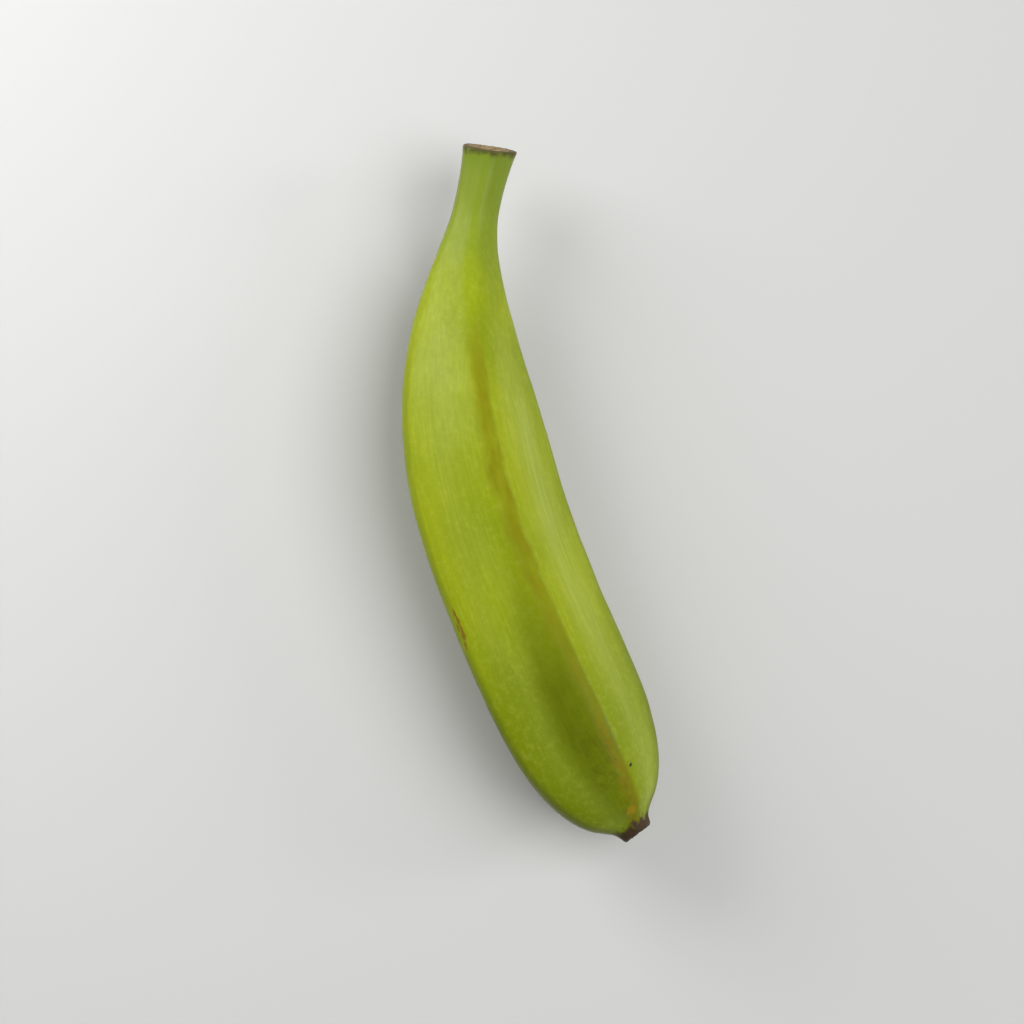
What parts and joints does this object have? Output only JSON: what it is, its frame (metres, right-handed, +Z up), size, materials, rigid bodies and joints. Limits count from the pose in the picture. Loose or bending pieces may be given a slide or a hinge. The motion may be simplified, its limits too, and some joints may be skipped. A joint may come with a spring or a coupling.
{
  "type": "green banana",
  "caption": "Unripe banana finger cut from its hand, lying on its side: a curved, ridged fruit with a cut stalk and a short blossom stub.",
  "frame": {"origin": "centre of the underside of the bounding box, on the surface the fruit lies on", "axes": "+Z up; +X along the fruit from the cut stalk to the blossom end; +Y towards the hollow side of its curve"},
  "size_m": [0.1744, 0.0462, 0.0362],
  "materials": {
    "peel": "waxy satin peel of an unripe fruit, yellowish green, with olive brown rubbed ridges and a dry brown stub"
  },
  "bodies": {
    "root": {"banana": "peel"}
  },
  "joints": []
}
